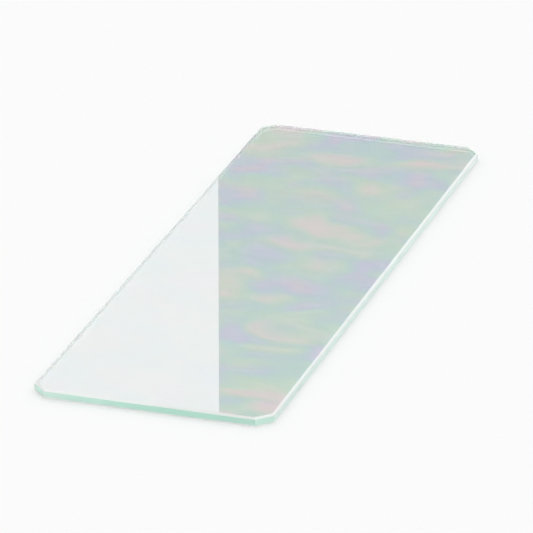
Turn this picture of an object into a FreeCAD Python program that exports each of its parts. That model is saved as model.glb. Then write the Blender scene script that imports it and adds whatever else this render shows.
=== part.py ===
"""Plain microscope slide, 75 x 25 x 1 mm, in one piece of clear glass.

The real slide is cut as a rectangle from flat drawn glass. Its four corners are
then clipped at 45 degrees, all its edges are ground flat and matt, and the sharp
arris that grinding leaves along both faces is taken off with a fine bevel.
The features below follow those steps in that order.

Frame: the slide lies flat. Its length runs along X, its width along Y, and its
thickness along Z. The origin is the middle of the face that it lies on.
"""

import FreeCAD
import Part

import enum
import os

import Sketcher

PARTS_FOLDER = "parts"
SLIDE_NODE = "glass_slide"
SHEET_NAME = "sizes"

# The driving dimensions, in millimetres: the sheet's alias, its value, what it is.
SIZES = (
    ("slide_length", 75.0, "length over the two ground ends"),
    ("slide_width", 25.0, "width over the two ground long edges"),
    ("glass_thickness", 1.0, "thickness of the flat glass"),
    ("corner_clip", 1.5, "what a clipped corner takes off each edge"),
    ("arris_bevel", 0.2, "leg of the bevel between an edge and a face"),
)


class Line(enum.IntEnum):
    """The sketch's own horizontal axis, and the rectangle's sides in drawing order."""

    AXIS = -1
    FRONT = 0
    RIGHT = 1
    BACK = 2
    LEFT = 3


class Point(enum.IntEnum):
    """The two ends of a line. The start of the axis is the sketch's origin."""

    START = 1
    END = 2


def make_sheet(document):
    """Writes the driving dimensions into a spreadsheet, one row each."""
    sheet = document.addObject("Spreadsheet::Sheet", SHEET_NAME)
    for row, (alias, value, meaning) in enumerate(SIZES, start=1):
        sheet.set(f"A{row}", alias)
        sheet.set(f"B{row}", str(value))
        sheet.set(f"C{row}", meaning)
        sheet.setAlias(f"B{row}", alias)
    document.recompute()
    return sheet


def origin_plane(body, role):
    """Finds one of the body's own origin planes by its role."""
    for feature in body.Origin.OriginFeatures:
        if feature.Role == role:
            return feature
    raise ValueError(f"{body.Name} has no origin plane with the role {role}")


def add_size(sketch, kind, side, name, alias, sheet):
    """Sets a side's length, and binds it to a cell of the sheet."""
    constraint = Sketcher.Constraint(
        kind, side, Point.START, side, Point.END, getattr(sheet, alias)
    )
    index = sketch.addConstraint(constraint)
    sketch.renameConstraint(index, name)
    sketch.setExpression(f"Constraints.{name}", f"{SHEET_NAME}.{alias}")


def draw_blank_outline(body, sheet):
    """Sketches the cut blank: a rectangle centred on the origin, flat on XY."""
    sketch = body.newObject("Sketcher::SketchObject", "blank_outline")
    sketch.AttachmentSupport = [(origin_plane(body, "XY_Plane"), "")]
    sketch.MapMode = "FlatFace"

    half_length = sheet.slide_length / 2
    half_width = sheet.slide_width / 2
    corners = (
        FreeCAD.Vector(-half_length, -half_width, 0),
        FreeCAD.Vector(half_length, -half_width, 0),
        FreeCAD.Vector(half_length, half_width, 0),
        FreeCAD.Vector(-half_length, half_width, 0),
    )
    for start, end in zip(corners, corners[1:] + corners[:1]):
        sketch.addGeometry(Part.LineSegment(start, end), False)

    sides = (Line.FRONT, Line.RIGHT, Line.BACK, Line.LEFT)
    for side, following in zip(sides, sides[1:] + sides[:1]):
        sketch.addConstraint(
            Sketcher.Constraint("Coincident", side, Point.END, following, Point.START)
        )
    for side in (Line.FRONT, Line.BACK):
        sketch.addConstraint(Sketcher.Constraint("Horizontal", side))
    for side in (Line.RIGHT, Line.LEFT):
        sketch.addConstraint(Sketcher.Constraint("Vertical", side))
    sketch.addConstraint(
        Sketcher.Constraint(
            "Symmetric",
            Line.FRONT,
            Point.START,
            Line.BACK,
            Point.START,
            Line.AXIS,
            Point.START,
        )
    )
    add_size(sketch, "DistanceX", Line.FRONT, "length", "slide_length", sheet)
    add_size(sketch, "DistanceY", Line.RIGHT, "width", "slide_width", sheet)
    return sketch


def raise_blank(body, outline):
    """Raises the outline to the thickness of the glass, up from the XY plane."""
    blank = body.newObject("PartDesign::Pad", "cut_blank")
    blank.Profile = outline
    blank.setExpression("Length", f"{SHEET_NAME}.glass_thickness")
    body.Document.recompute()
    return blank


def edge_names(feature, wanted):
    """Names the feature's edges for which wanted(edge) is true."""
    names = [
        f"Edge{number}"
        for number, edge in enumerate(feature.Shape.Edges, start=1)
        if wanted(edge)
    ]
    if not names:
        raise ValueError(f"{feature.Name} has no such edge")
    return names


def is_upright(edge):
    """True for an edge that runs through the thickness of the glass."""
    box = edge.BoundBox
    return box.ZLength > max(box.XLength, box.YLength)


def cut_edges(body, base, name, wanted, alias):
    """Chamfers the edges for which wanted(edge) is true by the size of that alias."""
    names = edge_names(base, wanted)
    chamfer = body.newObject("PartDesign::Chamfer", name)
    chamfer.Base = (base, names)
    chamfer.setExpression("Size", f"{SHEET_NAME}.{alias}")
    body.Document.recompute()
    return chamfer


def make_slide(document, sheet):
    """Makes the slide: the cut blank, its clipped corners, and its bevelled arrises."""
    body = document.addObject("PartDesign::Body", SLIDE_NODE)
    body.Label = SLIDE_NODE
    body.Placement = FreeCAD.Placement()
    document.recompute()

    blank = raise_blank(body, draw_blank_outline(body, sheet))
    clipped = cut_edges(body, blank, "clipped_corners", is_upright, "corner_clip")
    bevelled = cut_edges(
        body,
        clipped,
        "bevelled_arrises",
        lambda edge: not is_upright(edge),
        "arris_bevel",
    )
    body.Tip = bevelled
    return body


def check_document(document):
    """Stops the build if any object of the document failed to compute."""
    for item in document.Objects:
        if "Invalid" in item.State or "Error" in item.State:
            raise RuntimeError(f"{item.Name} failed to compute: {item.State}")


def write_part(part):
    """Checks a finished sub-part's shape, and writes it as parts/LABEL.step."""
    shape = part.Shape
    if shape.isNull() or not shape.isValid() or not shape.isClosed():
        raise RuntimeError(f"{part.Label} isn't a sound closed solid")
    shape.exportStep(os.path.join(PARTS_FOLDER, f"{part.Label}.step"))
    box = shape.BoundBox
    print(
        f"{part.Label}: {box.XLength:.3f} x {box.YLength:.3f} x {box.ZLength:.3f} mm,"
        f" {shape.Volume:.2f} cubic mm, {len(shape.Faces)} faces"
    )


def main():
    os.makedirs(PARTS_FOLDER, exist_ok=True)
    document = FreeCAD.newDocument("microscope_slide")
    sheet = make_sheet(document)
    parts = [make_slide(document, sheet)]
    document.recompute()
    check_document(document)
    for part in parts:
        write_part(part)


main()
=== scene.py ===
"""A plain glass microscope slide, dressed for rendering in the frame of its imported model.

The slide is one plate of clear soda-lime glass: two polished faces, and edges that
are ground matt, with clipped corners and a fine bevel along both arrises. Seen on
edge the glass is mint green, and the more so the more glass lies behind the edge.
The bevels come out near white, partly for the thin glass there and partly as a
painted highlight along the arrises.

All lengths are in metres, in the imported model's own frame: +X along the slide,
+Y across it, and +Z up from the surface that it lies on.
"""

import math

import bmesh
import bpy
from bpy.props import FloatProperty, FloatVectorProperty, IntProperty, PointerProperty
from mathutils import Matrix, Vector, noise


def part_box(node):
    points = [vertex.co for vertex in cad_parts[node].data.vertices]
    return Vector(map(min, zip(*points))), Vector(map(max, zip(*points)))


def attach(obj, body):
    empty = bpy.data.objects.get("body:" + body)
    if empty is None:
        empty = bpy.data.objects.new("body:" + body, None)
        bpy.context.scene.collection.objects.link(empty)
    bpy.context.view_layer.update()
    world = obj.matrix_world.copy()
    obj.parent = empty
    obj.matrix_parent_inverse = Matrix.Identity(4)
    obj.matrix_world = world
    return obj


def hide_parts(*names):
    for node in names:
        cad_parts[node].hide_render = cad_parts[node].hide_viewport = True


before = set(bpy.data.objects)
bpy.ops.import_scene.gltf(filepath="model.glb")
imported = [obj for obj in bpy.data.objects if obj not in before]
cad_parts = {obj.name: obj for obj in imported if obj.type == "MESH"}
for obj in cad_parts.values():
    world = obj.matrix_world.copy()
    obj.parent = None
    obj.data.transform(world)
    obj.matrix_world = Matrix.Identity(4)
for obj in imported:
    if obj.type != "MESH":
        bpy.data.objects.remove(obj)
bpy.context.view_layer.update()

bl_info = {
    "name": "Microscope Slide",
    "version": (1, 0, 0),
    "blender": (4, 5, 0),
    "location": "View3D > Sidebar > Slide",
    "description": "Builds a ground-edge glass microscope slide and the stage it is shown on",
    "category": "Object",
}

SLIDE_NODE = "glass_slide"
SLIDE_SLOT = "clear_glass"
UP = Vector((0.0, 0.0, 1.0))

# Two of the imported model's vertices are level if they differ by less than this.
LEVEL_WITHIN = 1e-6

# How the clipped outline turns at each of its eight corners.
CORNER_TURN = math.radians(45.0)

# A bevel leans this far over from the upright wall of the edge, and a face this far.
BEVEL_SLANT = math.radians(45.0)
FACE_SLANT = math.radians(90.0)

# Light that a ground edge passes spreads by about this much to each side in the glass.
FAN_HALF_ANGLE = math.radians(18.0)
FAN_RAYS = 37

# A ray that meets a side at a smaller sine than this runs along it.
ALONG_WITHIN = 1e-6

# How fine the grooves and the film's clouds are along X, Y and Z, per metre, how many
# finer layers they have, and how much the clouds swirl. The grooves run along the
# edges, so they are fine across the thickness.
GROOVE_FINENESS = (300.0, 300.0, 24000.0)
GROOVE_LAYERS = 3.0
FILM_FINENESS = (280.0, 150.0, 150.0)
FILM_LAYERS = 2.0
FILM_SWIRL = 0.6

# Tells no bounce from one or more.
HALF_A_BOUNCE = 0.5

# Enough for light to run the whole length of the glass.
GLASS_BOUNCES = 48

FLOOR_SEGMENTS = 96

# The nearest and the farthest that the camera sees, as shares of its distance.
NEAREST_SHARE = 0.01
FARTHEST_SHARE = 10.0

WHITE = (1.0, 1.0, 1.0, 1.0)

# The stage cards' materials: white and grey ones stand in a ring by turns, and the lid
# lies on them.
WHITE_CARD, GREY_CARD, LID_CARD = range(3)

# The texture layout: both faces along the top, and below them the edge, cut into rows
# that give its narrow bevels more room than their size alone would.
BAKE_MAP = "OFBake"
MAP_MARGIN = 0.01
FACES_BOTTOM = 0.82
FACES_TOP = 0.98
EDGE_ROWS = 8
EDGE_ROW_FILL = 0.8

# What the mesh tells its material: 0 on the faces and 1 on the ground edge, 0 on the
# edge's upright wall and 1 on its bevels, and how much glass lies behind the edge. On
# the bevels that is no more than the slide's thickness, which paints them near white:
# partly the thin glass there, and partly a painted highlight along the arrises.
GROUND_ATTRIBUTE = "ground"
BEVELLED_ATTRIBUTE = "bevelled"
GLASS_BEHIND_AND_ARRIS_HIGHLIGHT_ATTRIBUTE = "glass_behind"


# --- Sizes and colours that a user can change --------------------------------------


class SlideSizes(bpy.types.PropertyGroup):
    """The fine form of the slide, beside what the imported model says."""

    joint_radius: FloatProperty(
        name="Joint Radius",
        description="Rounding where a bevel meets a face or a ground edge",
        default=0.00004,
        min=0.000005,
        max=0.0001,
        unit="LENGTH",
        precision=6,
    )
    corner_radius: FloatProperty(
        name="Corner Radius",
        description="Rounding of the upright joints beside a clipped corner",
        default=0.00012,
        min=0.00001,
        max=0.0005,
        unit="LENGTH",
        precision=6,
    )
    joint_steps: IntProperty(
        name="Joint Steps",
        description="Facets in the rounding of a joint",
        default=4,
        min=1,
        max=12,
    )
    corner_steps: IntProperty(
        name="Corner Steps",
        description="Facets in the rounding of an upright joint",
        default=5,
        min=1,
        max=16,
    )
    station_pitch: FloatProperty(
        name="Station Pitch",
        description="Longest step along an edge",
        default=0.0005,
        min=0.0001,
        max=0.01,
        unit="LENGTH",
        precision=5,
    )
    bevel_wander: FloatProperty(
        name="Bevel Wander",
        description="How much a ground bevel's width wanders, as a share of it",
        default=0.14,
        min=0.0,
        max=0.5,
        subtype="FACTOR",
    )
    wander_length: FloatProperty(
        name="Wander Length",
        description="Length along an edge over which the bevel's width wanders",
        default=0.006,
        min=0.0005,
        max=0.05,
        unit="LENGTH",
        precision=4,
    )


class GlassLooks(bpy.types.PropertyGroup):
    """The colours and finish of the glass."""

    end_tint: FloatVectorProperty(
        name="End Tint",
        description="Share of white light left after the whole length of the glass",
        default=(0.56, 0.905, 0.76),
        min=0.0,
        max=1.0,
        size=3,
        subtype="COLOR",
    )
    face_tint: FloatVectorProperty(
        name="Face Tint",
        description="What the polished faces pass of white light",
        default=(0.956, 0.965, 0.972),
        min=0.0,
        max=1.0,
        size=3,
        subtype="COLOR",
    )
    matt_white: FloatProperty(
        name="Matt White",
        description="How white a ground edge is with no glass behind it",
        default=1.0,
        min=0.0,
        max=1.0,
        subtype="FACTOR",
    )
    surface_tint: FloatProperty(
        name="Surface Tint",
        description="How much of the tint of the glass behind it an edge's surface shows",
        default=0.8,
        min=0.0,
        max=1.0,
        subtype="FACTOR",
    )
    groove_streaks: FloatProperty(
        name="Groove Streaks",
        description="How much less white the darkest streaks of a ground edge are",
        default=0.16,
        min=0.0,
        max=1.0,
        subtype="FACTOR",
    )
    wall_clearness: FloatProperty(
        name="Wall Clearness",
        description="How much of its light an upright ground wall takes from the glass",
        default=0.6,
        min=0.0,
        max=1.0,
        subtype="FACTOR",
    )
    bevel_clearness: FloatProperty(
        name="Bevel Clearness",
        description="How much of its light a ground bevel takes from the glass",
        default=0.2,
        min=0.0,
        max=1.0,
        subtype="FACTOR",
    )
    face_roughness: FloatProperty(
        name="Face Roughness",
        description="Roughness of the polished faces",
        default=0.004,
        min=0.0,
        max=1.0,
        subtype="FACTOR",
    )
    smoothest_edge: FloatProperty(
        name="Smoothest Edge",
        description="Least roughness of the ground edges",
        default=0.24,
        min=0.0,
        max=1.0,
        subtype="FACTOR",
    )
    roughest_edge: FloatProperty(
        name="Roughest Edge",
        description="Most roughness of the ground edges",
        default=0.44,
        min=0.0,
        max=1.0,
        subtype="FACTOR",
    )
    inner_roughness: FloatProperty(
        name="Inner Roughness",
        description="Roughness of the ground edges for light that comes from within",
        default=0.95,
        min=0.0,
        max=1.0,
        subtype="FACTOR",
    )
    groove_height: FloatProperty(
        name="Groove Height",
        description="Depth of the grinding grooves along the edges",
        default=0.000008,
        min=0.0,
        max=0.0001,
        unit="LENGTH",
        precision=6,
    )
    glass_ior: FloatProperty(
        name="Glass IOR",
        description="Refractive index of the glass",
        default=1.52,
        min=1.0,
        max=3.0,
    )
    film_ior: FloatProperty(
        name="Film IOR",
        description="Refractive index of the film on the faces",
        default=1.92,
        min=1.0,
        max=3.0,
    )
    film_thinnest: FloatProperty(
        name="Film Thinnest",
        description="Least thickness of the film on the faces, in nanometres",
        default=238.0,
        min=0.0,
        max=2000.0,
    )
    film_thickest: FloatProperty(
        name="Film Thickest",
        description="Most thickness of the film on the faces, in nanometres",
        default=662.0,
        min=0.0,
        max=2000.0,
    )


class StageSettings(bpy.types.PropertyGroup):
    """The floor, the light and the camera."""

    floor_colour: FloatVectorProperty(
        name="Floor Colour",
        description="Colour of the plain floor",
        default=(0.89, 0.89, 0.89),
        min=0.0,
        max=1.0,
        size=3,
        subtype="COLOR",
    )
    floor_radius: FloatProperty(
        name="Floor Radius",
        description="Radius of the flat floor",
        default=2.2,
        min=0.1,
        max=10.0,
        unit="LENGTH",
    )
    floor_gap: FloatProperty(
        name="Floor Gap",
        description="Film of air between the floor and the slide that lies on it",
        default=0.00003,
        min=0.0,
        max=0.001,
        unit="LENGTH",
        precision=6,
    )
    zenith_strength: FloatProperty(
        name="Zenith Strength",
        description="Brightness of the studio's dome overhead",
        default=1.25,
        min=0.0,
        max=10.0,
    )
    horizon_strength: FloatProperty(
        name="Horizon Strength",
        description="Brightness of the studio's dome along the horizon",
        default=0.75,
        min=0.0,
        max=10.0,
    )
    backdrop_strength: FloatProperty(
        name="Backdrop Strength",
        description="How bright the dome looks behind the floor, to match the floor",
        default=0.965,
        min=0.0,
        max=1.0,
    )
    white_card_colour: FloatVectorProperty(
        name="White Card Colour",
        description="Colour of the white cards that the faces mirror",
        default=(0.9, 0.9, 0.9),
        min=0.0,
        max=1.0,
        size=3,
        subtype="COLOR",
    )
    grey_card_colour: FloatVectorProperty(
        name="Grey Card Colour",
        description="Colour of the grey cards between the white ones",
        default=(0.13, 0.13, 0.13),
        min=0.0,
        max=1.0,
        size=3,
        subtype="COLOR",
    )
    lid_colour: FloatVectorProperty(
        name="Lid Colour",
        description="Colour of the card over the slide, that shows from above",
        default=(0.75, 0.75, 0.75),
        min=0.0,
        max=1.0,
        size=3,
        subtype="COLOR",
    )
    card_count: IntProperty(
        name="Card Count",
        description="White cards round the slide, with as many grey ones between them",
        default=5,
        min=1,
        max=24,
    )
    card_radius: FloatProperty(
        name="Card Radius",
        description="How far the cards stand from the middle of the slide",
        default=0.1,
        min=0.05,
        max=1.0,
        unit="LENGTH",
    )
    card_height: FloatProperty(
        name="Card Height",
        description="Height of the cards",
        default=0.2,
        min=0.01,
        max=1.0,
        unit="LENGTH",
    )
    mirrored_share: FloatProperty(
        name="Mirrored Share",
        description="Share of the near end over which the top face mirrors a card",
        default=0.74,
        min=0.0,
        max=1.0,
        subtype="FACTOR",
    )
    camera_swing: FloatProperty(
        name="Camera Swing",
        description="How far the camera stands round from the slide's long axis",
        default=math.radians(18.0),
        subtype="ANGLE",
    )
    camera_elevation: FloatProperty(
        name="Camera Elevation",
        description="How far the camera stands above the floor",
        default=math.radians(23.0),
        subtype="ANGLE",
    )
    camera_distance: FloatProperty(
        name="Camera Distance",
        description="From the middle of the slide to the camera",
        default=0.6,
        min=0.05,
        max=10.0,
        unit="LENGTH",
    )
    camera_lens: FloatProperty(
        name="Camera Lens",
        description="Focal length, in millimetres",
        default=390.0,
        min=20.0,
        max=1000.0,
    )


# --- The slide's form ---------------------------------------------------------------


class SlideForm:
    """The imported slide's sizes, read from its box and its corners."""

    def __init__(self):
        self.low, self.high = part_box(SLIDE_NODE)
        vertices = [vertex.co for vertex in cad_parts[SLIDE_NODE].data.vertices]
        end_face = [co for co in vertices if self.high.x - co.x < LEVEL_WITHIN]
        top_face = [co for co in vertices if self.high.z - co.z < LEVEL_WITHIN]
        self.clip = self.high.y - max(co.y for co in end_face)
        self.bevel = self.high.x - max(co.x for co in top_face)
        self.centre = (self.low + self.high) / 2

    @property
    def length(self):
        return self.high.x - self.low.x

    @property
    def width(self):
        return self.high.y - self.low.y

    @property
    def thickness(self):
        return self.high.z - self.low.z


class Station:
    """One upright cut through the edge: a point of the outline and how it insets.

    The edge's surface there lies at point - inset * mitre, where inset is measured
    square to the edge, and faces along outward.
    """

    def __init__(self, point, mitre, outward):
        self.point = point
        self.mitre = mitre
        self.outward = outward
        self.glass_behind = 0.0


def turned(vector, angle):
    """A level vector turned anticlockwise by an angle."""
    cosine, sine = math.cos(angle), math.sin(angle)
    return Vector(
        (vector.x * cosine - vector.y * sine, vector.x * sine + vector.y * cosine)
    )


def outline_corners(form):
    """The clipped outline's eight corners, anticlockwise from the right end's front."""
    x, y, clip = form.length / 2, form.width / 2, form.clip
    places = ((x, -y + clip), (x, y - clip), (x - clip, y), (-x + clip, y))
    first_half = [Vector(place) for place in places]
    second_half = [-corner for corner in first_half]
    middle = form.centre.to_2d()
    return [middle + corner for corner in first_half + second_half]


def glass_behind_edge(outline, point, outward):
    """How much glass lies behind a point of the edge: the mean over a fan of rays.

    Each ray runs from the point to where it leaves the outline, whose corners are
    given anticlockwise.
    """
    total = 0.0
    for step in range(FAN_RAYS):
        angle = FAN_HALF_ANGLE * (2 * (step + 0.5) / FAN_RAYS - 1)
        ray = -turned(outward, angle)
        spans = []
        for corner, following in zip(outline, outline[1:] + outline[:1]):
            side = (following - corner).normalized()
            facing = Vector((side.y, -side.x))
            leaving = facing.dot(ray)
            if leaving > ALONG_WITHIN:
                spans.append(max(0.0, facing.dot(corner - point)) / leaving)
        total += min(spans)
    return total / FAN_RAYS


def make_stations(form, sizes):
    """Stations all round the clipped outline, close together at its rounded corners."""
    corners = outline_corners(form)
    count = len(corners)
    directions = [
        (corners[(i + 1) % count] - corners[i]).normalized() for i in range(count)
    ]
    outwards = [Vector((direction.y, -direction.x)) for direction in directions]
    setback = sizes.corner_radius * math.tan(CORNER_TURN / 2)
    mitres = [
        (outwards[i - 1] + outwards[i]).normalized() / math.cos(CORNER_TURN / 2)
        for i in range(count)
    ]

    stations = []
    for i, corner in enumerate(corners):
        before, after = outwards[i - 1], outwards[i]
        arc_centre = corner - mitres[i] * sizes.corner_radius
        for step in range(sizes.corner_steps + 1):
            outward = turned(before, CORNER_TURN * step / sizes.corner_steps)
            point = arc_centre + outward * sizes.corner_radius
            stations.append(Station(point, mitres[i], outward))

        following = (i + 1) % count
        start = corner + directions[i] * setback
        end = corners[following] - directions[i] * setback
        steps = max(2, math.ceil((end - start).length / sizes.station_pitch))
        for step in range(1, steps):
            share = step / steps
            mitre = mitres[i].lerp(mitres[following], share)
            stations.append(Station(start.lerp(end, share), mitre, after))
    for station in stations:
        station.glass_behind = glass_behind_edge(
            corners, station.point, station.outward
        )
    return stations


def edge_section(form, sizes, low_bevel, high_bevel):
    """The edge's section at one station, from the underside's flat to the top's.

    Each point is (inset, height, outward part of the normal, upward part of it).
    """
    # Where each joint's corner would be if it were sharp, and the slants it joins.
    thickness = form.thickness
    joints = (
        (low_bevel, 0.0, -FACE_SLANT, -BEVEL_SLANT),
        (0.0, low_bevel, -BEVEL_SLANT, 0.0),
        (0.0, thickness - high_bevel, 0.0, BEVEL_SLANT),
        (high_bevel, thickness, BEVEL_SLANT, FACE_SLANT),
    )
    points = []
    for inset, height, first, last in joints:
        middle = (first + last) / 2
        reach = sizes.joint_radius / math.cos((last - first) / 2)
        centre_inset = inset + reach * math.cos(middle)
        centre_height = height - reach * math.sin(middle)
        for step in range(sizes.joint_steps + 1):
            angle = first + (last - first) * step / sizes.joint_steps
            points.append(
                (
                    centre_inset - sizes.joint_radius * math.cos(angle),
                    centre_height + sizes.joint_radius * math.sin(angle),
                    math.cos(angle),
                    math.sin(angle),
                )
            )
    return points


def shares_along(points):
    """How far along a line of points each of them lies, from 0 to 1."""
    travelled = [0.0]
    for point, following in zip(points, points[1:]):
        travelled.append(travelled[-1] + math.dist(point, following))
    return [distance / travelled[-1] for distance in travelled]


def edge_places(stations, section):
    """The texture layout of the edge: for each quad, the places of its four corners.

    The outline is cut into rows of as many stations each. A row runs along the
    layout, and the edge's section runs across the row.
    """
    across = shares_along([(inset, height) for inset, height, _, _ in section])
    pitch = FACES_BOTTOM / EDGE_ROWS
    points = [station.point for station in stations]
    points.append(points[0])
    places = []
    for row in range(EDGE_ROWS):
        start = row * len(stations) // EDGE_ROWS
        end = (row + 1) * len(stations) // EDGE_ROWS
        along = shares_along(points[start : end + 1])
        us = [MAP_MARGIN + (1.0 - 2 * MAP_MARGIN) * share for share in along]
        vs = [pitch * (row + EDGE_ROW_FILL * share) + MAP_MARGIN for share in across]
        for u, next_u in zip(us, us[1:]):
            places.append(
                [
                    ((u, v), (next_u, v), (next_u, next_v), (u, next_v))
                    for v, next_v in zip(vs, vs[1:])
                ]
            )
    return places


def face_place(form, flat, half):
    """The texture layout of a face: where a point of the top or the underside lies.

    The two faces lie side by side, each in one half, 0 or 1, of the layout's width.
    """
    left = half / 2 + MAP_MARGIN
    right = (half + 1) / 2 - MAP_MARGIN
    across = (flat.x - form.low.x) / form.length
    up = (flat.y - form.low.y) / form.width
    return (
        left + (right - left) * across,
        FACES_BOTTOM + (FACES_TOP - FACES_BOTTOM) * up,
    )


def wandering_bevel(form, sizes, station, height):
    """The bevel's width at a station: hand-fed grinding never holds it quite even."""
    place = Vector((station.point.x, station.point.y, height)) / sizes.wander_length
    return form.bevel * (1.0 + sizes.bevel_wander * noise.noise(place))


def build_slide_mesh(form, sizes):
    """Sweeps the edge's section round the outline, and closes both faces flat."""
    stations = make_stations(form, sizes)
    build = bmesh.new()
    ground = build.faces.layers.float.new(GROUND_ATTRIBUTE)
    bevelled = build.verts.layers.float.new(BEVELLED_ATTRIBUTE)
    behind = build.verts.layers.float.new(GLASS_BEHIND_AND_ARRIS_HIGHLIGHT_ATTRIBUTE)
    layout = build.loops.layers.uv.new(BAKE_MAP)

    rings = []
    normals = {}
    for station in stations:
        low_bevel = wandering_bevel(form, sizes, station, form.low.z)
        high_bevel = wandering_bevel(form, sizes, station, form.high.z)
        ring = []
        for inset, height, out_part, up_part in edge_section(
            form, sizes, low_bevel, high_bevel
        ):
            flat = station.point - station.mitre * inset
            vertex = build.verts.new((flat.x, flat.y, form.low.z + height))
            slant = min(1.0, abs(up_part) / math.sin(BEVEL_SLANT))
            vertex[bevelled] = slant
            # A bevel has no more than the slide's thickness behind it, so it comes out near
            # white: partly the thin glass there, and partly a painted highlight along the
            # arris.
            vertex[behind] = (
                station.glass_behind * (1.0 - slant) + form.thickness * slant
            )
            outward = station.outward.to_3d()
            normals[vertex] = (outward * out_part + UP * up_part).normalized()
            ring.append(vertex)
        rings.append(ring)

    even_section = edge_section(form, sizes, form.bevel, form.bevel)
    places = edge_places(stations, even_section)
    for ring, following, quads in zip(rings, rings[1:] + rings[:1], places):
        for row, corners in enumerate(quads):
            face = build.faces.new(
                (ring[row], following[row], following[row + 1], ring[row + 1])
            )
            face[ground] = 1.0
            for loop, corner in zip(face.loops, corners):
                loop[layout].uv = corner
    underside = build.faces.new([ring[0] for ring in reversed(rings)])
    top_face = build.faces.new([ring[-1] for ring in rings])
    for half, face in enumerate((underside, top_face)):
        for loop in face.loops:
            loop[layout].uv = face_place(form, loop.vert.co, half)

    build.verts.index_update()
    build.faces.index_update()
    smooth_normals = {vertex.index: normal for vertex, normal in normals.items()}
    flat_normals = {underside.index: -UP, top_face.index: UP}

    mesh = bpy.data.meshes.new(SLIDE_NODE + "_mesh")
    build.to_mesh(mesh)
    build.free()
    mesh.polygons.foreach_set("use_smooth", [True] * len(mesh.polygons))
    loop_normals = []
    for polygon in mesh.polygons:
        for index in polygon.vertices:
            loop_normals.append(flat_normals.get(polygon.index, smooth_normals[index]))
    mesh.normals_split_custom_set(loop_normals)
    mesh.validate()
    return mesh


# --- Materials ------------------------------------------------------------------------


class NodeSheet:
    """Short ways to add and join the nodes of one material or world."""

    def __init__(self, owner):
        owner.use_nodes = True
        self.tree = owner.node_tree
        self.tree.nodes.clear()

    def add(self, kind, **settings):
        node = self.tree.nodes.new(kind)
        for name, value in settings.items():
            setattr(node, name, value)
        return node

    def join(self, source, target):
        self.tree.links.new(source, target)

    def math(self, operation, first, second=None):
        """A Math node whose inputs are sockets or plain numbers."""
        node = self.add("ShaderNodeMath", operation=operation)
        for socket, value in zip(node.inputs, (first, second)):
            self.feed(socket, value)
        return node.outputs[0]

    def feed(self, socket, value):
        if value is None:
            return
        if isinstance(value, bpy.types.NodeSocket):
            self.join(value, socket)
        else:
            socket.default_value = value

    def map_range(self, value, low, high):
        """Maps 0..1 to low..high."""
        node = self.add("ShaderNodeMapRange")
        self.feed(node.inputs["Value"], value)
        self.feed(node.inputs["To Min"], low)
        self.feed(node.inputs["To Max"], high)
        return node.outputs[0]

    def mix(self, factor, first, second, kind="FLOAT"):
        """Mixes two numbers, or two colours if the kind is RGBA."""
        node = self.add("ShaderNodeMix", data_type=kind)
        inputs = [socket for socket in node.inputs if socket.enabled]
        for socket, value in zip(inputs, (factor, first, second)):
            self.feed(socket, value)
        return next(socket for socket in node.outputs if socket.enabled)

    def mix_shader(self, factor, first, second):
        """Mixes two surfaces."""
        node = self.add("ShaderNodeMixShader")
        for socket, value in zip(node.inputs, (factor, first, second)):
            self.feed(socket, value)
        return node.outputs[0]

    def attribute(self, name):
        """A number that the mesh carries under this name."""
        return self.add("ShaderNodeAttribute", attribute_name=name).outputs["Fac"]

    def noise(self, fineness, layers, swirl=0.0):
        """Fractal noise over the object's own coordinates, each axis scaled by itself."""
        place = self.add("ShaderNodeTexCoord").outputs["Object"]
        stretch = self.add("ShaderNodeMapping")
        self.join(place, stretch.inputs["Vector"])
        stretch.inputs["Scale"].default_value = fineness
        node = self.add("ShaderNodeTexNoise")
        self.join(stretch.outputs[0], node.inputs["Vector"])
        node.inputs["Scale"].default_value = 1.0
        node.inputs["Detail"].default_value = layers
        node.inputs["Distortion"].default_value = swirl
        return node.outputs[0]


def ground_colour(sheet, form, looks, grooves, within):
    """A ground edge's colour: white matt, streaked, and green by the glass behind it.

    Beer's law gives what is left of each colour after the glass behind. The bevels,
    with little glass behind them, come out near white, partly for the thin glass and
    partly as a painted highlight along the arrises. Seen from within, the matt is plain
    white, because the glass on the way tints it already.
    """
    streaked = sheet.map_range(
        grooves, looks.matt_white - looks.groove_streaks, looks.matt_white
    )
    # On the bevels this is cut to the slide's thickness, which is partly a painted highlight
    # along the arrises.
    behind = sheet.attribute(GLASS_BEHIND_AND_ARRIS_HIGHLIGHT_ATTRIBUTE)
    depth = sheet.math("MULTIPLY", behind, looks.surface_tint / form.length)
    tinted = sheet.add("ShaderNodeCombineColor")
    for socket, share in zip(tinted.inputs, looks.end_tint):
        left = sheet.math("POWER", share, depth)
        sheet.join(sheet.math("MULTIPLY", left, streaked), socket)
    plain = (looks.matt_white, looks.matt_white, looks.matt_white, 1.0)
    return sheet.mix(within, tinted.outputs[0], plain, kind="RGBA")


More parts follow.
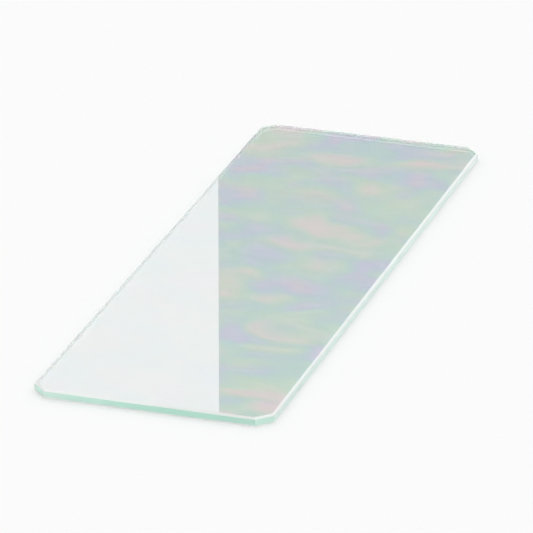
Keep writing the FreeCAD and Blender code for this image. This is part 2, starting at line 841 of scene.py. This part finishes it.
def make_glass(form, looks):
    """Clear glass with polished faces under a thin film, and with matt ground edges."""
    material = bpy.data.materials.new(SLIDE_SLOT)
    sheet = NodeSheet(material)
    output = sheet.add("ShaderNodeOutputMaterial")
    glass = sheet.add("ShaderNodeBsdfPrincipled")
    glass.inputs["IOR"].default_value = looks.glass_ior
    glass.inputs["Thin Film IOR"].default_value = looks.film_ior
    sheet.join(glass.outputs[0], output.inputs["Surface"])

    ground = sheet.attribute(GROUND_ATTRIBUTE)
    within = sheet.add("ShaderNodeNewGeometry").outputs["Backfacing"]
    grooves = sheet.noise(GROOVE_FINENESS, GROOVE_LAYERS)

    edge_colour = ground_colour(sheet, form, looks, grooves, within)
    colour = sheet.mix(ground, (*looks.face_tint, 1.0), edge_colour, kind="RGBA")
    sheet.join(colour, glass.inputs["Base Color"])

    # Light that comes from within passes a ground edge freely, but is scattered.
    bevelled = sheet.attribute(BEVELLED_ATTRIBUTE)
    clearness = sheet.mix(bevelled, looks.wall_clearness, looks.bevel_clearness)
    clearness = sheet.mix(within, clearness, 1.0)
    clearness = sheet.mix(ground, 1.0, clearness)
    sheet.join(clearness, glass.inputs["Transmission Weight"])
    roughness = sheet.map_range(grooves, looks.smoothest_edge, looks.roughest_edge)
    roughness = sheet.mix(within, roughness, looks.inner_roughness)
    roughness = sheet.mix(ground, looks.face_roughness, roughness)
    sheet.join(roughness, glass.inputs["Roughness"])

    bump = sheet.add("ShaderNodeBump")
    bump.inputs["Distance"].default_value = looks.groove_height
    sheet.join(sheet.math("MULTIPLY", grooves, ground), bump.inputs["Height"])
    sheet.join(bump.outputs[0], glass.inputs["Normal"])

    clouds = sheet.noise(FILM_FINENESS, FILM_LAYERS, FILM_SWIRL)
    film = sheet.map_range(clouds, looks.film_thinnest, looks.film_thickest)
    sheet.join(sheet.mix(ground, film, 0.0), glass.inputs["Thin Film Thickness"])

    absorb = sheet.add("ShaderNodeVolumeAbsorption")
    strongest = max(-math.log(share) for share in looks.end_tint)
    absorb.inputs["Color"].default_value = (
        *(1.0 + math.log(share) / strongest for share in looks.end_tint),
        1.0,
    )
    absorb.inputs["Density"].default_value = strongest / form.length
    sheet.join(absorb.outputs[0], output.inputs["Volume"])
    return material


def make_matt(name, colour, takes_light=True):
    """A plain matt surface for the stage.

    One that takes no light from the rest shows only in mirrors and glass.
    """
    material = bpy.data.materials.new(name)
    sheet = NodeSheet(material)
    output = sheet.add("ShaderNodeOutputMaterial")
    matt = sheet.add("ShaderNodeBsdfDiffuse")
    matt.inputs["Color"].default_value = (*colour, 1.0)
    surface = matt.outputs[0]
    if not takes_light:
        bounces = sheet.add("ShaderNodeLightPath").outputs["Diffuse Depth"]
        bounced = sheet.math("GREATER_THAN", bounces, HALF_A_BOUNCE)
        clear = sheet.add("ShaderNodeBsdfTransparent").outputs[0]
        surface = sheet.mix_shader(bounced, surface, clear)
    sheet.join(surface, output.inputs["Surface"])
    return material


# --- Operators ------------------------------------------------------------------------


def add_object(name, data):
    """Links a new object into the scene."""
    item = bpy.data.objects.new(name, data)
    bpy.context.scene.collection.objects.link(item)
    return item


class SLIDE_OT_build_slide(bpy.types.Operator):
    """Build the glass slide with its ground edges and clipped corners"""

    bl_idname = "slide.build_slide"
    bl_label = "Build Slide"

    def execute(self, context):
        form = SlideForm()
        mesh = build_slide_mesh(form, context.scene.slide_sizes)
        mesh.materials.append(make_glass(form, context.scene.glass_looks))
        slide = add_object("ground_edge_slide", mesh)
        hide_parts(SLIDE_NODE)
        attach(slide, "root")
        return {"FINISHED"}


def make_floor(form, stage):
    """A wide flat floor, a film of air below the slide."""
    build = bmesh.new()
    bmesh.ops.create_circle(
        build, cap_ends=True, segments=FLOOR_SEGMENTS, radius=stage.floor_radius
    )
    mesh = bpy.data.meshes.new("floor_mesh")
    build.to_mesh(mesh)
    build.free()
    mesh.materials.append(make_matt("floor_matt", stage.floor_colour))
    floor = add_object("floor", mesh)
    floor.location = (form.centre.x, form.centre.y, form.low.z - stage.floor_gap)


def make_sky(stage):
    """A white dome that lights evenly, a little brighter overhead than low down.

    Where the camera sees it, straight or by mirror or through glass, it matches the
    floor, so that no horizon shows.
    """
    world = bpy.data.worlds.new("studio")
    bpy.context.scene.world = world
    sheet = NodeSheet(world)
    output = sheet.add("ShaderNodeOutputWorld")
    background = sheet.add("ShaderNodeBackground")
    background.inputs["Color"].default_value = WHITE
    sheet.join(background.outputs[0], output.inputs["Surface"])
    direction = sheet.add("ShaderNodeTexCoord").outputs["Generated"]
    split = sheet.add("ShaderNodeSeparateXYZ")
    sheet.join(direction, split.inputs[0])
    dome = sheet.map_range(
        split.outputs["Z"], stage.horizon_strength, stage.zenith_strength
    )
    path = sheet.add("ShaderNodeLightPath").outputs
    seen = path["Is Camera Ray"]
    for kind in ("Is Glossy Ray", "Is Transmission Ray"):
        seen = sheet.math("MAXIMUM", seen, path[kind])
    unbounced = sheet.math("LESS_THAN", path["Diffuse Depth"], HALF_A_BOUNCE)
    seen = sheet.math("MULTIPLY", seen, unbounced)
    strength = sheet.mix(seen, dome, stage.backdrop_strength)
    sheet.join(strength, background.inputs["Strength"])


def camera_direction(stage):
    """From the slide towards the camera, which looks along it from its left end."""
    level = math.cos(stage.camera_elevation)
    return Vector(
        (
            -math.cos(stage.camera_swing) * level,
            -math.sin(stage.camera_swing) * level,
            math.sin(stage.camera_elevation),
        )
    )


def make_cards(form, stage):
    """Matt cards for the slide to mirror: a ring, white and grey by turns, and a lid.

    The first card's upright edge stands in line with the camera and with a point of
    the slide's near end, so that the mirrored edge crosses the top face from there.
    The cards neither show to the camera nor shade anything.
    """
    away = -camera_direction(stage).to_2d().normalized()
    leftward = Vector((-away.y, away.x))
    seen_from = form.high.y - stage.mirrored_share * form.width
    aside = Vector((form.low.x, seen_from)).dot(leftward)
    first = math.atan2(away.y, away.x) + math.asin(aside / stage.card_radius)
    turn = math.pi / stage.card_count

    build = bmesh.new()
    uprights = []
    for index in range(2 * stage.card_count):
        arm = turned(Vector((stage.card_radius, 0.0)), first + index * turn)
        foot = (form.centre.to_2d() + arm).to_3d() + UP * form.low.z
        uprights.append(
            [build.verts.new(foot), build.verts.new(foot + UP * stage.card_height)]
        )
    neighbours = zip(uprights, uprights[1:] + uprights[:1])
    for index, (upright, following) in enumerate(neighbours):
        card = build.faces.new((*upright, *reversed(following)))
        card.material_index = (WHITE_CARD, GREY_CARD)[index % 2]
    lid = build.faces.new([upright[1] for upright in uprights])
    lid.material_index = LID_CARD
    mesh = bpy.data.meshes.new("cards_mesh")
    build.to_mesh(mesh)
    build.free()
    for name, colour in (
        ("card_white", stage.white_card_colour),
        ("card_grey", stage.grey_card_colour),
        ("card_lid", stage.lid_colour),
    ):
        mesh.materials.append(make_matt(name, colour, takes_light=False))
    cards = add_object("studio_cards", mesh)
    cards.visible_camera = False
    cards.visible_diffuse = False
    cards.visible_shadow = False


def make_camera(form, stage):
    """Looks at the middle of the slide."""
    camera = add_object("camera", bpy.data.cameras.new("camera"))
    towards = camera_direction(stage)
    camera.location = form.centre + towards * stage.camera_distance
    camera.rotation_mode = "QUATERNION"
    camera.rotation_quaternion = (-towards).to_track_quat("-Z", "Y")
    camera.data.lens = stage.camera_lens
    camera.data.clip_start = stage.camera_distance * NEAREST_SHARE
    camera.data.clip_end = stage.camera_distance * FARTHEST_SHARE
    bpy.context.scene.camera = camera


def trace_clear_glass(cycles):
    """Lets light run the whole length of the glass, and keeps what shows through sharp."""
    cycles.max_bounces = GLASS_BOUNCES
    cycles.transmission_bounces = GLASS_BOUNCES
    cycles.glossy_bounces = GLASS_BOUNCES
    cycles.blur_glossy = 0.0


class SLIDE_OT_set_stage(bpy.types.Operator):
    """Set out the floor, the light and the camera"""

    bl_idname = "slide.set_stage"
    bl_label = "Set Stage"

    def execute(self, context):
        form = SlideForm()
        stage = context.scene.stage_settings
        make_floor(form, stage)
        make_sky(stage)
        make_cards(form, stage)
        make_camera(form, stage)
        context.scene.view_settings.view_transform = "Standard"
        trace_clear_glass(context.scene.cycles)
        return {"FINISHED"}


class SLIDE_PT_panel(bpy.types.Panel):
    """The slide's operators and settings"""

    bl_idname = "SLIDE_PT_panel"
    bl_label = "Microscope Slide"
    bl_space_type = "VIEW_3D"
    bl_region_type = "UI"
    bl_category = "Slide"

    def draw(self, context):
        layout = self.layout
        for operator in (SLIDE_OT_build_slide, SLIDE_OT_set_stage):
            layout.operator(operator.bl_idname)
        for name, group in SETTINGS.items():
            box = layout.box()
            for setting in group.__annotations__:
                box.prop(getattr(context.scene, name), setting)


SETTINGS = {
    "slide_sizes": SlideSizes,
    "glass_looks": GlassLooks,
    "stage_settings": StageSettings,
}
CLASSES = (*SETTINGS.values(), SLIDE_OT_build_slide, SLIDE_OT_set_stage, SLIDE_PT_panel)


def register():
    for item in CLASSES:
        bpy.utils.register_class(item)
    for name, group in SETTINGS.items():
        setattr(bpy.types.Scene, name, PointerProperty(type=group))


def unregister():
    for name in SETTINGS:
        delattr(bpy.types.Scene, name)
    for item in reversed(CLASSES):
        bpy.utils.unregister_class(item)


def main():
    register()
    bpy.ops.slide.build_slide()
    bpy.ops.slide.set_stage()


if __name__ == "__main__":
    main()
